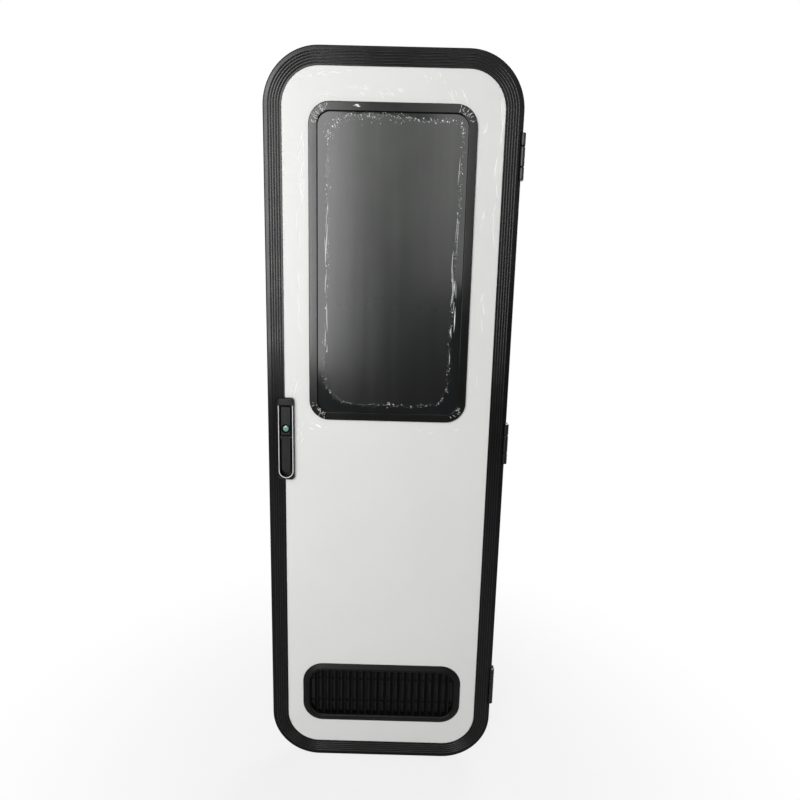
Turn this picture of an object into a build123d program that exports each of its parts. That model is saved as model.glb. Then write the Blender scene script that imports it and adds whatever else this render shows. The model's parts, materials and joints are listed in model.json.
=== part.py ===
"""Caravan entry door: a hinged sandwich leaf in a fixed wall frame.

Millimetres. +X is to the right seen from outside, +Y goes into the vehicle, +Z is up.
The origin is the middle of the lower edge of the frame flange's back face, where it lies on the wall.
"inset" is measured inwards from a piece's own outline, "out" outwards from the wall's outside face.
"""

import os

from build123d import *

# Leaf outline
leaf_width = 600.0
leaf_height = 1830.0
leaf_corner_radius = 130.0

# Fixed frame: a flange on the wall and a sleeve through it
flange_width = 28.0
flange_thickness = 3.0
sleeve_thickness = 2.5
sleeve_depth = 38.0
flange_screw_diameter = 4.5
flange_screw_inset = 8.0
stile_screw_end_distance = 355.0
rail_screw_spacing = 220.0

# Soft seal on the frame
seal_width = 8.0
seal_chamfer = 2.4
seal_leaf_gap = 0.3

# Ribbed edge of the leaf
band_width = 43.0
band_depth = 10.0
band_frame_gap = 9.0
band_edge_size = 3.5
rim_width = 9.5
rib_pitch = 6.1
rib_count = 5
rib_height = 1.2
swing_gap = 7.0
web_thickness = 3.0
back_lip_width = 10.0

# Sandwich panel
panel_thickness = 30.0
panel_step = 3.0
skin_thickness = 1.5
panel_edge_gap = 0.3

# Window
window_width = 390.0
window_bottom = 967.0
window_top_distance = 118.0
window_corner_radius = 50.0
bezel_width = 20.0
bezel_height = 6.0
bezel_edge_size = 3.0
bezel_flat = 17.0
bezel_inner_drop = 1.2
window_sleeve_inset = 14.0
window_sleeve_thickness = 3.0
window_sleeve_depth = 25.0
glass_thickness = 5.0
glass_recess = 1.0
glass_gap = 0.5
gasket_sight = 1.8
gasket_thickness = 2.0
cutout_gap = 0.5
inner_ring_thickness = 4.0
inner_ring_leg = 3.0

# Ventilation grille
vent_width = 432.0
vent_height = 173.0
vent_bottom = 110.0
vent_corner_radius = 55.0
vent_rim_width = 20.0
vent_rim_height = 7.0
vent_rim_edge_size = 4.0
vent_rim_flat = 8.0
vent_rim_inner_drop = 4.0
vent_sleeve_thickness = 4.0
vent_sleeve_depth = 13.0
blade_count = 20
blade_pitch = 19.0
blade_thickness = 2.2
blade_depth = 11.2
blade_lean = 9.6
tie_bar_spacing = 66.0
tie_bar_size = 2.5
screen_thickness = 0.8
inner_slat_depth = 6.0
inner_slat_count = 10
inner_slat_pitch = 38.0

# Outside handle
handle_inset = 46.5
handle_width = 40.0
handle_height = 212.0
handle_corner_radius = 8.0
handle_proud = 12.0
handle_edge_size = 3.0
recess_width = 31.0
recess_bottom_margin = 8.0
recess_height = 186.0
recess_depth = 17.5
cup_wall = 2.0
cup_side_gap = 2.0
cup_back_gap = 3.0
band_fit_gap = 0.5
trim_width = 2.2
trim_height = 1.6
trim_gap = 0.8
bar_width = 25.0
bar_setback = 0.6
lock_head_height = 74.0
lock_head_top_gap = 3.0
lock_below_head_top = 57.0
lock_plug_radius = 8.4
lock_plug_gap = 0.08
lock_bore_depth = 12.0
lock_plug_setback = 0.8
lock_plug_end_gap = 0.3
lock_ring_radius = 11.5
lock_ring_depth = 1.6
keyway_length = 8.0
keyway_width = 1.4
keyway_depth = 3.0
paddle_length = 95.0
paddle_thickness = 7.5
paddle_top_gap = 2.2
bar_edge_size = 1.5
paddle_pin_radius = 1.6
paddle_pin_gap = 0.08
paddle_pin_engagement = 3.0

# Latch between leaf and frame
latch_face_height = 90.0
latch_face_width = 12.0
latch_case_length = 42.0
latch_case_height = 66.0
latch_case_thickness = 13.0
latch_case_back_gap = 0.4
bolt_height = 16.0
bolt_thickness = 5.0
bolt_length = 30.0
bolt_gap = 0.3
latch_fit_gap = 0.4
strike_thickness = 1.2
strike_height = 80.0
strike_width = 19.0
strike_front_gap = 0.5
strike_bolt_gap = 1.0

# Inside handle
inside_plate_width = 40.0
inside_plate_height = 170.0
inside_plate_thickness = 4.0
inside_plate_radius = 10.0
inside_plate_gap = 2.0
inside_boss_radius = 9.0
inside_boss_height = 8.0
inside_lever_width = 18.0
inside_lever_length = 95.0
inside_lever_thickness = 8.0

# Hinges, one at mid-height and two set in from the leaf's ends
hinge_end_distance = 228.0
hinge_height = 104.0
hinge_overhang = 0.5
hinge_knuckle_radius = 6.0
hinge_knuckle_back = 2.0
hinge_end_knuckle = 29.0
hinge_knuckle_gap = 0.5
hinge_plate_thickness = 3.0
hinge_plate_reach = 13.0
hinge_pin_radius = 2.5
hinge_pin_gap = 0.06
hinge_notch_gap = 1.5

# Share of an eased edge's size that is cut off at the middle of its two facets
edge_easing = 0.3

# Depths outwards from the wall's outside face
flange_front = flange_thickness
band_back = flange_front + band_frame_gap
band_front = band_back + band_depth
skin_front = band_front - panel_step
panel_back = skin_front - panel_thickness
leaf_back = panel_back - web_thickness
glass_front = skin_front - glass_recess
glass_back = glass_front - glass_thickness
handle_front = skin_front + handle_proud
recess_floor = handle_front - recess_depth
cup_back = recess_floor - cup_wall
pocket_floor = cup_back - cup_back_gap
bar_front = handle_front - bar_setback

# Insets from the leaf's outline
web_outer = flange_width + swing_gap
web_inner = web_outer + web_thickness
panel_inset = web_inner + panel_edge_gap

# Places on the leaf, seen from outside
leaf_middle = leaf_height / 2
window_height = leaf_height - window_top_distance - window_bottom
window_middle = window_bottom + window_height / 2
vent_middle = vent_bottom + vent_height / 2
handle_x = -leaf_width / 2 + handle_inset
handle_middle = leaf_middle
recess_radius = recess_width / 2
recess_low = handle_middle - handle_height / 2 + recess_bottom_margin
recess_high = recess_low + recess_height
head_high = recess_high - lock_head_top_gap
head_low = head_high - lock_head_height
lock_z = head_high - lock_below_head_top
paddle_pivot_out = bar_front - paddle_thickness / 2
paddle_pivot_z = head_low - paddle_top_gap - paddle_thickness / 2
paddle_low = head_low - paddle_top_gap - paddle_length
hinge_x = leaf_width / 2 + hinge_overhang
hinge_out = band_front - hinge_knuckle_back
hinge_middles = {
    "bottom": hinge_end_distance,
    "middle": leaf_middle,
    "top": leaf_height - hinge_end_distance,
}


def wall_plane(out):
    """Plane parallel to the wall, seen from outside: x to the right, y up, outwards positive."""
    return Plane(origin=(0, -out, 0), x_dir=(1, 0, 0), z_dir=(0, -1, 0))


def section_plane(bottom):
    """Plane of a ring's section at the middle of its lower side: x is inset, y is out."""
    return Plane(origin=(0, 0, bottom), x_dir=(0, 0, 1), z_dir=(1, 0, 0))


def ring_path(width, height, radius, bottom):
    """Closed path round a rounded rectangle, from the middle of its lower side."""
    with BuildLine(Plane(origin=(0, 0, bottom), x_dir=(1, 0, 0), z_dir=(0, -1, 0))) as path:
        lower_right = Line((0, 0), (width / 2 - radius, 0))
        turn_right = JernArc(lower_right @ 1, lower_right % 1, radius, 90)
        right = Line(turn_right @ 1, turn_right @ 1 + (0, height - 2 * radius))
        turn_top = JernArc(right @ 1, right % 1, radius, 90)
        top = Line(turn_top @ 1, turn_top @ 1 - (width - 2 * radius, 0))
        turn_left = JernArc(top @ 1, top % 1, radius, 90)
        left = Line(turn_left @ 1, turn_left @ 1 - (0, height - 2 * radius))
        turn_bottom = JernArc(left @ 1, left % 1, radius, 90)
        Line(turn_bottom @ 1, (0, 0))
    return path.wire()


def eased_edge(front, size):
    """Section points of an outer front edge that is rounded off in two facets."""
    near = size * edge_easing
    return [(0, front - size), (near, front - near), (size, front)]


def handle_slot(grow):
    """Outline of the handle's recess, square at the top and round below, grown by an amount."""
    radius = recess_radius + grow
    arc_middle = recess_low + recess_radius
    with BuildSketch(mode=Mode.PRIVATE) as slot:
        with Locations((handle_x, (arc_middle + recess_high + grow) / 2)):
            Rectangle(2 * radius, recess_high + grow - arc_middle)
        with Locations((handle_x, arc_middle)):
            Circle(radius)
    return slot.sketch


leaf_path = ring_path(leaf_width, leaf_height, leaf_corner_radius, 0)
window_path = ring_path(window_width, window_height, window_corner_radius, window_bottom)
vent_path = ring_path(vent_width, vent_height, vent_corner_radius, vent_bottom)

window_cut_inset = window_sleeve_inset - cutout_gap
vent_sleeve_inset = vent_rim_width - vent_sleeve_thickness
vent_cut_inset = vent_sleeve_inset - cutout_gap
latch_z = paddle_pivot_z
latch_x = -leaf_width / 2 + web_inner
bolt_out = panel_back + latch_case_back_gap + skin_thickness + bolt_thickness / 2
strike_x = -leaf_width / 2 + flange_width

# Fixed frame
with BuildPart() as door_frame:
    with BuildSketch(section_plane(0)):
        with BuildLine():
            Polyline(
                (0, 0),
                (flange_width - sleeve_thickness, 0),
                (flange_width - sleeve_thickness, -sleeve_depth),
                (flange_width, -sleeve_depth),
                (flange_width, flange_front),
                (0, flange_front),
                close=True,
            )
        make_face()
    sweep(path=leaf_path)
    stile_x = leaf_width - 2 * flange_screw_inset
    rail_z = leaf_height - 2 * flange_screw_inset
    with Locations(wall_plane(flange_front)):
        with Locations((0, leaf_middle)):
            with GridLocations(stile_x, leaf_height - 2 * stile_screw_end_distance, 2, 2):
                Hole(flange_screw_diameter / 2, flange_thickness)
            with GridLocations(rail_screw_spacing, rail_z, 2, 2):
                Hole(flange_screw_diameter / 2, flange_thickness)
    with BuildSketch(Plane.YZ.offset(strike_x - sleeve_thickness)):
        with Locations((-bolt_out, latch_z)):
            Rectangle(bolt_thickness + 2 * strike_bolt_gap, bolt_height + 2 * strike_bolt_gap)
    extrude(amount=sleeve_thickness, mode=Mode.SUBTRACT)
door_frame.part.label = "door_frame"

# Soft seal on the flange
seal_high = band_back - seal_leaf_gap
seal_inner = flange_width - sleeve_thickness
seal_outer = seal_inner - seal_width
with BuildPart() as frame_seal:
    with BuildSketch(section_plane(0)):
        with BuildLine():
            Polyline(
                (seal_outer, flange_front),
                (seal_inner, flange_front),
                (seal_inner, seal_high - seal_chamfer),
                (seal_inner - seal_chamfer, seal_high),
                (seal_outer + seal_chamfer, seal_high),
                (seal_outer, seal_high - seal_chamfer),
                close=True,
            )
        make_face()
    sweep(path=leaf_path)
frame_seal.part.label = "frame_seal"

# Strike plate on the latch side of the sleeve
strike_out = -strike_front_gap - strike_width / 2
with BuildPart() as strike_plate:
    with BuildSketch(Plane.YZ.offset(strike_x)):
        with Locations((-strike_out, latch_z)):
            Rectangle(strike_width, strike_height)
        with Locations((-bolt_out, latch_z)):
            Rectangle(
                bolt_thickness + 2 * strike_bolt_gap,
                bolt_height + 2 * strike_bolt_gap,
                mode=Mode.SUBTRACT,
            )
    extrude(amount=strike_thickness)
strike_plate.part.label = "strike_plate"

# Ribbed edge profile of the leaf, with its channel for the panel
rib_valley = band_front - rib_height
ribs_end = rim_width + rib_count * rib_pitch
notch_depth = hinge_knuckle_radius - hinge_overhang + hinge_notch_gap
rib_points = []
for rib in range(rib_count):
    rib_start = rim_width + rib * rib_pitch
    rib_points += [(rib_start, rib_valley), (rib_start + rib_pitch / 2, band_front)]
with BuildPart() as leaf_edge_profile:
    with BuildSketch(section_plane(0)):
        with BuildLine():
            Polyline(
                (0, band_back),
                *eased_edge(band_front, band_edge_size),
                (rim_width - rib_pitch / 2, band_front),
                *rib_points,
                (ribs_end, rib_valley),
                (band_width, rib_valley),
                (band_width, skin_front),
                (web_inner, skin_front),
                (web_inner, panel_back),
                (web_outer + back_lip_width, panel_back),
                (web_outer + back_lip_width, leaf_back),
                (web_outer, leaf_back),
                (web_outer, band_back),
                close=True,
            )
        make_face()
    sweep(path=leaf_path)
    for hinge_z in hinge_middles.values():
        with BuildSketch(wall_plane(band_back)):
            with Locations((leaf_width / 2, hinge_z)):
                Rectangle(2 * notch_depth, hinge_height + 2 * hinge_notch_gap)
        extrude(amount=band_depth, mode=Mode.SUBTRACT)
    with BuildSketch(Plane.YZ.offset(latch_x - web_thickness)):
        with Locations((-bolt_out, latch_z)):
            Rectangle(latch_face_width + 2 * latch_fit_gap, latch_face_height + 2 * latch_fit_gap)
    extrude(amount=web_thickness, mode=Mode.SUBTRACT)
    with BuildSketch(wall_plane(pocket_floor)):
        add(handle_slot(cup_wall + cup_side_gap))
    extrude(amount=band_front - pocket_floor, mode=Mode.SUBTRACT)
leaf_edge_profile.part.label = "leaf_edge_profile"


def panel_sheet(out_low, out_high, handle_hole):
    """One layer of the sandwich panel, cut for the window, the vent and the handle's cup."""
    with BuildPart(mode=Mode.PRIVATE) as sheet:
        with BuildSketch(wall_plane(out_low)):
            with Locations((0, leaf_middle)):
                RectangleRounded(
                    leaf_width - 2 * panel_inset,
                    leaf_height - 2 * panel_inset,
                    leaf_corner_radius - panel_inset,
                )
            with Locations((0, window_middle)):
                RectangleRounded(
                    window_width - 2 * window_cut_inset,
                    window_height - 2 * window_cut_inset,
                    window_corner_radius - window_cut_inset,
                    mode=Mode.SUBTRACT,
                )
            with Locations((0, vent_middle)):
                RectangleRounded(
                    vent_width - 2 * vent_cut_inset,
                    vent_height - 2 * vent_cut_inset,
                    vent_corner_radius - vent_cut_inset,
                    mode=Mode.SUBTRACT,
                )
        extrude(amount=out_high - out_low)
        if handle_hole:
            cut_low = max(out_low, pocket_floor)
            with BuildSketch(wall_plane(cut_low)):
                add(handle_slot(cup_wall + cup_side_gap))
            extrude(amount=out_high - cut_low, mode=Mode.SUBTRACT)
    return sheet.part


core_front = skin_front - skin_thickness
core_back = panel_back + skin_thickness

with BuildPart() as outer_skin:
    add(panel_sheet(core_front, skin_front, True))
outer_skin.part.label = "outer_skin"

with BuildPart() as foam_core:
    add(panel_sheet(core_back, core_front, True))
    with BuildSketch(Plane.YZ.offset(latch_x)):
        with Locations((-core_back - latch_case_thickness / 2, latch_z)):
            Rectangle(
                latch_case_thickness + 2 * latch_case_back_gap,
                latch_case_height + 2 * latch_fit_gap,
            )
    extrude(amount=latch_case_length + latch_fit_gap, mode=Mode.SUBTRACT)
foam_core.part.label = "foam_core"

with BuildPart() as inner_skin:
    add(panel_sheet(panel_back, core_back, False))
inner_skin.part.label = "inner_skin"

# Window: bezel with a sleeve through the panel, gasket, tinted pane and inside ring
bezel_front = skin_front + bezel_height
lip_front = bezel_front - bezel_inner_drop
gasket_front = glass_front + gasket_thickness
sleeve_inner = window_sleeve_inset + window_sleeve_thickness
with BuildPart() as window_bezel:
    with BuildSketch(section_plane(window_bottom)):
        with BuildLine():
            Polyline(
                (0, skin_front),
                *eased_edge(bezel_front, bezel_edge_size),
                (bezel_flat, bezel_front),
                (bezel_width, lip_front),
                (bezel_width, gasket_front),
                (sleeve_inner, gasket_front),
                (sleeve_inner, skin_front - window_sleeve_depth),
                (window_sleeve_inset, skin_front - window_sleeve_depth),
                (window_sleeve_inset, skin_front),
                close=True,
            )
        make_face()
    sweep(path=window_path)
window_bezel.part.label = "window_bezel"

with BuildPart() as window_gasket:
    with BuildSketch(section_plane(window_bottom)):
        with BuildLine():
            Polyline(
                (sleeve_inner + glass_gap, glass_front),
                (bezel_width + gasket_sight, glass_front),
                (bezel_width + gasket_sight - gasket_thickness / 2, gasket_front),
                (sleeve_inner + glass_gap, gasket_front),
                close=True,
            )
        make_face()
    sweep(path=window_path)
window_gasket.part.label = "window_gasket"

glass_inset = sleeve_inner + glass_gap
with BuildPart() as window_pane:
    with BuildSketch(wall_plane(glass_back)):
        with Locations((0, window_middle)):
            RectangleRounded(
                window_width - 2 * glass_inset,
                window_height - 2 * glass_inset,
                window_corner_radius - glass_inset,
            )
    extrude(amount=glass_thickness)
window_pane.part.label = "window_pane"

ring_back = panel_back - inner_ring_thickness
with BuildPart() as window_inner_ring:
    with BuildSketch(section_plane(window_bottom)):
        with BuildLine():
            Polyline(
                (0, panel_back),
                (glass_inset, panel_back),
                (glass_inset, glass_back),
                (glass_inset + inner_ring_leg, glass_back),
                (glass_inset + inner_ring_leg, ring_back),
                (inner_ring_thickness / 2, ring_back),
                (0, ring_back + inner_ring_thickness / 2),
                close=True,
            )
        make_face()
    sweep(path=window_path)
window_inner_ring.part.label = "window_inner_ring"

# Ventilation grille: slanting upright blades in a rounded rim
vent_front = skin_front + vent_rim_height
vent_lip = vent_front - vent_rim_inner_drop
vent_sleeve_back = skin_front - vent_sleeve_depth
blade_front = vent_lip - blade_thickness / 2
blade_back = blade_front - blade_depth
vent_open_width = vent_width - 2 * vent_rim_width
vent_open_height = vent_height - 2 * vent_rim_width
blade_embed = vent_sleeve_thickness / 2
with BuildPart() as vent_blades:
    with BuildSketch(Plane.XY.offset(vent_bottom)):
        with GridLocations(blade_pitch, 1, blade_count, 1):
            Polygon(
                (blade_lean / 2 - blade_thickness / 2, -blade_front),
                (blade_lean / 2 + blade_thickness / 2, -blade_front),
                (-blade_lean / 2 + blade_thickness / 2, -blade_back),
                (-blade_lean / 2 - blade_thickness / 2, -blade_back),
                align=None,
            )
    extrude(amount=vent_height)
    tie_low = vent_middle - tie_bar_spacing / 2
    tie_high = vent_middle + tie_bar_spacing / 2
    with Locations((0, -blade_back, tie_low), (0, -blade_back, tie_high)):
        Box(vent_width, tie_bar_size, tie_bar_size)
    with BuildSketch(wall_plane(blade_back - tie_bar_size / 2)):
        with Locations((0, vent_middle)):
            RectangleRounded(
                vent_open_width + 2 * blade_embed,
                vent_open_height + 2 * blade_embed,
                vent_corner_radius - vent_rim_width + blade_embed,
            )
    extrude(amount=blade_depth + tie_bar_size / 2, mode=Mode.INTERSECT)

with BuildPart() as vent_outer_grille:
    with BuildSketch(section_plane(vent_bottom)):
        with BuildLine():
            Polyline(
                (0, skin_front),
                *eased_edge(vent_front, vent_rim_edge_size),
                (vent_rim_edge_size + vent_rim_flat, vent_front),
                (vent_rim_width, vent_lip),
                (vent_rim_width, vent_sleeve_back),
                (vent_sleeve_inset, vent_sleeve_back),
                (vent_sleeve_inset, skin_front),
                close=True,
            )
        make_face()
    sweep(path=vent_path)
    add(vent_blades.part)
vent_outer_grille.part.label = "vent_outer_grille"

with BuildPart() as vent_insect_screen:
    with BuildSketch(wall_plane(vent_sleeve_back - screen_thickness)):
        with Locations((0, vent_middle)):
            RectangleRounded(
                vent_width - 2 * vent_sleeve_inset,
                vent_height - 2 * vent_sleeve_inset,
                vent_corner_radius - vent_sleeve_inset,
            )
    extrude(amount=screen_thickness)
vent_insect_screen.part.label = "vent_insect_screen"

screen_back = vent_sleeve_back - screen_thickness
with BuildPart() as vent_inner_grille:
    with BuildSketch(Plane.XY.offset(vent_bottom)):
        with GridLocations(inner_slat_pitch, 1, inner_slat_count, 1):
            with Locations((0, -ring_back - inner_slat_depth / 2)):
                Rectangle(blade_thickness, inner_slat_depth)
    extrude(amount=vent_height)
    with BuildSketch(wall_plane(ring_back)):
        with Locations((0, vent_middle)):
            RectangleRounded(
                vent_open_width + 2 * blade_embed,
                vent_open_height + 2 * blade_embed,
                vent_corner_radius - vent_rim_width + blade_embed,
            )
    extrude(amount=inner_slat_depth, mode=Mode.INTERSECT)
    with BuildSketch(section_plane(vent_bottom)):
        with BuildLine():
            Polyline(
                (0, panel_back),
                (vent_sleeve_inset, panel_back),
                (vent_sleeve_inset, screen_back),
                (vent_rim_width, screen_back),
                (vent_rim_width, ring_back),
                (inner_ring_thickness / 2, ring_back),
                (0, ring_back + inner_ring_thickness / 2),
                close=True,
            )
        make_face()
    sweep(path=vent_path)
vent_inner_grille.part.label = "vent_inner_grille"

# Outside handle: housing with a deep cup, bright trim, lock and pull paddle
with BuildPart() as handle_housing:
    with BuildSketch(wall_plane(skin_front)):
        with Locations((handle_x, handle_middle)):
            RectangleRounded(handle_width, handle_height, handle_corner_radius)
    extrude(amount=handle_proud)
    chamfer(faces().sort_by(Axis.Y)[0].edges(), handle_edge_size)
    with BuildSketch(wall_plane(skin_front)):
        with Locations((-leaf_width / 2 + band_width / 2, handle_middle)):
            Rectangle(band_width + 2 * band_fit_gap, handle_height)
    extrude(amount=panel_step, mode=Mode.SUBTRACT)
    with BuildSketch(wall_plane(cup_back)):
        add(handle_slot(cup_wall))
    extrude(amount=handle_front - handle_edge_size - cup_back)
    with BuildSketch(wall_plane(recess_floor)):
        add(handle_slot(0))
    extrude(amount=recess_depth, mode=Mode.SUBTRACT)
    pin_length = recess_width + 2 * paddle_pin_engagement
    with Locations((handle_x, -paddle_pivot_out, paddle_pivot_z)):
        Cylinder(
            paddle_pin_radius + paddle_pin_gap,
            pin_length,
            rotation=(0, 90, 0),
            mode=Mode.SUBTRACT,
        )
handle_housing.part.label = "handle_housing"

with BuildPart() as handle_trim:
    with BuildSketch(wall_plane(handle_front)):
        add(handle_slot(trim_gap + trim_width))
        add(handle_slot(trim_gap), mode=Mode.SUBTRACT)
        with Locations((handle_x, recess_high)):
            Rectangle(handle_width, 2 * (trim_gap + trim_width), mode=Mode.SUBTRACT)
    extrude(amount=trim_height)
handle_trim.part.label = "handle_trim"

with BuildPart() as lock_head:
    with BuildSketch(wall_plane(recess_floor)):
        with Locations((handle_x, (head_low + head_high) / 2)):
            Rectangle(bar_width, lock_head_height)
    extrude(amount=bar_front - recess_floor)
    chamfer(faces().sort_by(Axis.Y)[0].edges(), bar_edge_size)
    with Locations(wall_plane(bar_front)):
        with Locations((handle_x, lock_z)):
            CounterBoreHole(
                lock_plug_radius + lock_plug_gap,
                lock_ring_radius,
                lock_ring_depth,
                lock_ring_depth + lock_bore_depth,
            )
lock_head.part.label = "lock_head"

plug_front = bar_front - lock_plug_setback
plug_back = bar_front - lock_ring_depth - lock_bore_depth + lock_plug_end_gap
with BuildPart() as lock_plug:
    with BuildSketch(wall_plane(plug_back)):
        with Locations((handle_x, lock_z)):
            Circle(lock_plug_radius)
    extrude(amount=plug_front - plug_back)
    with BuildSketch(wall_plane(plug_front - keyway_depth)):
        with Locations((handle_x, lock_z)):
            Rectangle(keyway_width, keyway_length)
    extrude(amount=keyway_depth, mode=Mode.SUBTRACT)
lock_plug.part.label = "lock_plug"

bar_radius = bar_width / 2
with BuildPart() as pull_paddle:
    with BuildSketch(wall_plane(bar_front - paddle_thickness)):
        with Locations((handle_x, (paddle_low + bar_radius + paddle_pivot_z) / 2)):
            Rectangle(bar_width, paddle_pivot_z - paddle_low - bar_radius)
        with Locations((handle_x, paddle_low + bar_radius)):
            Circle(bar_radius)
    extrude(amount=paddle_thickness)
    chamfer(faces().sort_by(Axis.Y)[0].edges().group_by(Axis.Z)[:-1], bar_edge_size)
    with Locations((handle_x, -paddle_pivot_out, paddle_pivot_z)):
        Cylinder(paddle_thickness / 2, bar_width, rotation=(0, 90, 0))
        Cylinder(
            paddle_pin_radius + paddle_pin_gap,
            bar_width,
            rotation=(0, 90, 0),
            mode=Mode.SUBTRACT,
        )
pull_paddle.part.label = "pull_paddle"

with BuildPart() as paddle_pin:
    with Locations((handle_x, -paddle_pivot_out, paddle_pivot_z)):
        Cylinder(paddle_pin_radius, pin_length, rotation=(0, 90, 0))
paddle_pin.part.label = "paddle_pin"

# Latch in the leaf's edge, drawn with its bolt pulled back
with BuildPart() as latch_case:
    with BuildSketch(Plane.YZ.offset(latch_x)):
        with Locations((-core_back - latch_case_thickness / 2, latch_z)):
            Rectangle(latch_case_thickness, latch_case_height)
        with Locations((-bolt_out, latch_z)):
            Rectangle(bolt_thickness + 2 * bolt_gap, bolt_height + 2 * bolt_gap, mode=Mode.SUBTRACT)
    extrude(amount=bolt_length)
    with BuildSketch(Plane.YZ.offset(latch_x + bolt_length - web_thickness)):
        with Locations((-core_back - latch_case_thickness / 2, latch_z)):
            Rectangle(latch_case_thickness, latch_case_height)
    extrude(amount=latch_case_length - bolt_length + web_thickness)
latch_case.part.label = "latch_case"

with BuildPart() as latch_faceplate:
    with BuildSketch(Plane.YZ.offset(latch_x - web_thickness)):
        with Locations((-bolt_out, latch_z)):
            Rectangle(latch_face_width, latch_face_height)
            Rectangle(bolt_thickness + 2 * bolt_gap, bolt_height + 2 * bolt_gap, mode=Mode.SUBTRACT)
    extrude(amount=web_thickness)
latch_faceplate.part.label = "latch_faceplate"

with BuildPart() as latch_bolt:
    with BuildSketch(Plane.YZ.offset(latch_x - web_thickness)):
        with Locations((-bolt_out, latch_z)):
            Rectangle(bolt_thickness, bolt_height)
    extrude(amount=bolt_length)
latch_bolt.part.label = "latch_bolt"

# Inside handle
inside_x = -leaf_width / 2 + web_outer + back_lip_width + inside_plate_gap + inside_plate_width / 2
plate_back = panel_back - inside_plate_thickness
with BuildPart() as inside_handle_plate:
    with BuildSketch(wall_plane(plate_back)):
        with Locations((inside_x, handle_middle)):
            RectangleRounded(inside_plate_width, inside_plate_height, inside_plate_radius)
    extrude(amount=inside_plate_thickness)
inside_handle_plate.part.label = "inside_handle_plate"

boss_back = plate_back - inside_boss_height
with BuildPart() as inside_handle_lever:
    with BuildSketch(wall_plane(boss_back)):
        with Locations((inside_x, latch_z)):
            Circle(inside_boss_radius)
    extrude(amount=inside_boss_height)
    with BuildSketch(wall_plane(boss_back - inside_lever_thickness)):
        with Locations((inside_x, latch_z - inside_lever_length / 2 + inside_boss_radius)):
            SlotOverall(inside_lever_length, inside_lever_width, rotation=90)
    extrude(amount=inside_lever_thickness)
inside_handle_lever.part.label = "inside_handle_lever"

pieces = [
    door_frame,
    frame_seal,
    strike_plate,
    leaf_edge_profile,
    outer_skin,
    foam_core,
    inner_skin,
    window_bezel,
    window_gasket,
    window_pane,
    window_inner_ring,
    vent_outer_grille,
    vent_insect_screen,
    vent_inner_grille,
    handle_housing,
    handle_trim,
    lock_head,
    lock_plug,
    pull_paddle,
    paddle_pin,
    latch_case,
    latch_faceplate,
    latch_bolt,
    inside_handle_plate,
    inside_handle_lever,
]

# Hinges: foot, end knuckles and pin on the frame, middle knuckle and plate on the leaf
middle_knuckle = hinge_height - 2 * hinge_end_knuckle - 2 * hinge_knuckle_gap
knuckle_outer_x = hinge_x + hinge_knuckle_radius
knuckle_inner_x = hinge_x - hinge_knuckle_radius
plate_inner_x = leaf_width / 2 - hinge_plate_reach
foot_front = flange_front + hinge_plate_thickness
leaf_plate_back = band_back - hinge_plate_thickness
for hinge_name, hinge_z in hinge_middles.items():
    hinge_low = hinge_z - hinge_height / 2
    hinge_high = hinge_z + hinge_height / 2

    with BuildPart() as hinge_frame_half:
        with BuildSketch(Plane.XY.offset(hinge_low)):
            with Locations(((plate_inner_x + knuckle_outer_x) / 2, -(flange_front + foot_front) / 2)):
                Rectangle(knuckle_outer_x - plate_inner_x, hinge_plate_thickness)
        extrude(amount=hinge_height)
        for knuckle_low in (hinge_low, hinge_high - hinge_end_knuckle):
            with BuildSketch(Plane.XY.offset(knuckle_low)):
                with Locations((knuckle_outer_x - hinge_plate_thickness / 2, -(hinge_out + flange_front) / 2)):
                    Rectangle(hinge_plate_thickness, hinge_out - flange_front)
                with Locations((hinge_x, -hinge_out)):
                    Circle(hinge_knuckle_radius)
            extrude(amount=hinge_end_knuckle)
        with BuildSketch(Plane.XY.offset(hinge_low)):
            with Locations((hinge_x, -hinge_out)):
                Circle(hinge_pin_radius)
        extrude(amount=hinge_height)
    hinge_frame_half.part.label = f"hinge_{hinge_name}_frame_half"

    with BuildPart() as hinge_leaf_half:
        leaf_plate_x = knuckle_inner_x + hinge_plate_thickness
        with BuildSketch(Plane.XY.offset(hinge_low)):
            with Locations(((plate_inner_x + leaf_plate_x) / 2, -(leaf_plate_back + band_back) / 2)):
                Rectangle(leaf_plate_x - plate_inner_x, hinge_plate_thickness)
        extrude(amount=hinge_height)
        with BuildSketch(Plane.XY.offset(hinge_z - middle_knuckle / 2)):
            with Locations((leaf_plate_x - hinge_plate_thickness / 2, -(hinge_out + leaf_plate_back) / 2)):
                Rectangle(hinge_plate_thickness, hinge_out - leaf_plate_back)
            with Locations((hinge_x, -hinge_out)):
                Circle(hinge_knuckle_radius)
                Circle(hinge_pin_radius + hinge_pin_gap, mode=Mode.SUBTRACT)
        extrude(amount=middle_knuckle)
    hinge_leaf_half.part.label = f"hinge_{hinge_name}_leaf_half"

    pieces += [hinge_frame_half, hinge_leaf_half]

os.makedirs("parts", exist_ok=True)
for piece in pieces:
    export_step(piece.part, f"parts/{piece.part.label}.step")
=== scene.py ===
"""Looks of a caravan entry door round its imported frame, laid out as an add-on and run as a script."""

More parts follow.
